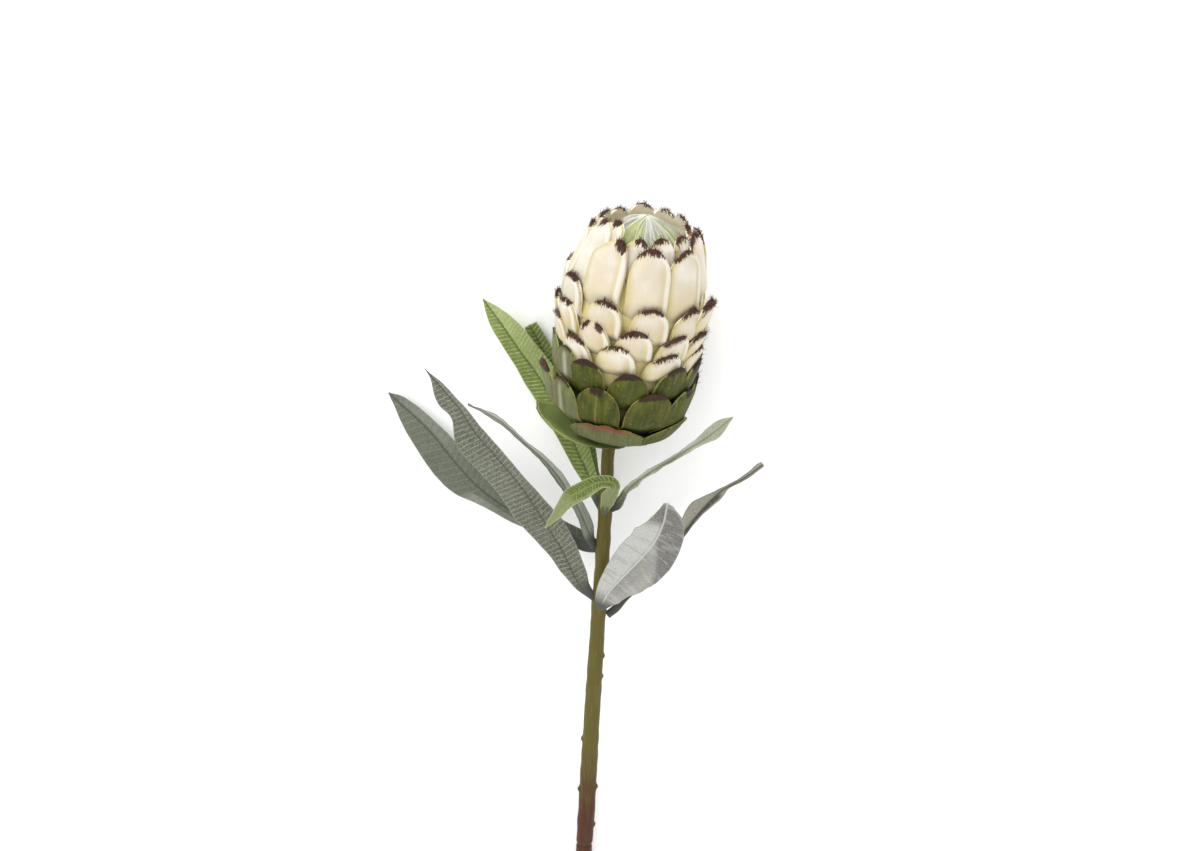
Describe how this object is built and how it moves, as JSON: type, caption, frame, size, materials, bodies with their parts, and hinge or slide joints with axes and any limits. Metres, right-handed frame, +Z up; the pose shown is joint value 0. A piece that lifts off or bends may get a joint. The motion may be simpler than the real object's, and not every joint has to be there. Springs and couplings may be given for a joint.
{
  "type": "protea flower",
  "caption": "Cut artificial protea lying down: head of overlapping cream and green bracts round a floret dome, bare stem and long leaves.",
  "frame": {"origin": "middle of the small flat under the head, on which the cut flower lies", "axes": "+Z up from the table, +Y along the table from the cut end of the stem to the head, +X to the flower's right as seen from above with the head away from the viewer"},
  "size_m": [0.2183, 0.4274, 0.0898],
  "materials": {
    "cream_bract": "soft coated foam, cream with dark brown hairy tips",
    "green_bract": "matt coated fabric, olive green with brown tips",
    "floret": "silky pale green fibres",
    "stem": "matt olive turning red brown at the cut end",
    "green_leaf": "woven, green with pale ribs",
    "grey_leaf": "woven, dusty grey green with pale ribs"
  },
  "bodies": {
    "root": {"cream_bracts": "cream_bract", "green_bracts": "green_bract", "floret_dome": "floret", "stem": "stem", "leaf_left_ribbed": "green_leaf", "leaf_under_head": "green_leaf", "leaf_arched_green": "green_leaf", "leaf_right_thin": "green_leaf", "leaf_left_narrow": "grey_leaf", "leaf_left_long": "grey_leaf", "leaf_left_low": "grey_leaf", "leaf_arched_wide": "grey_leaf", "leaf_right_low": "grey_leaf"}
  },
  "joints": []
}
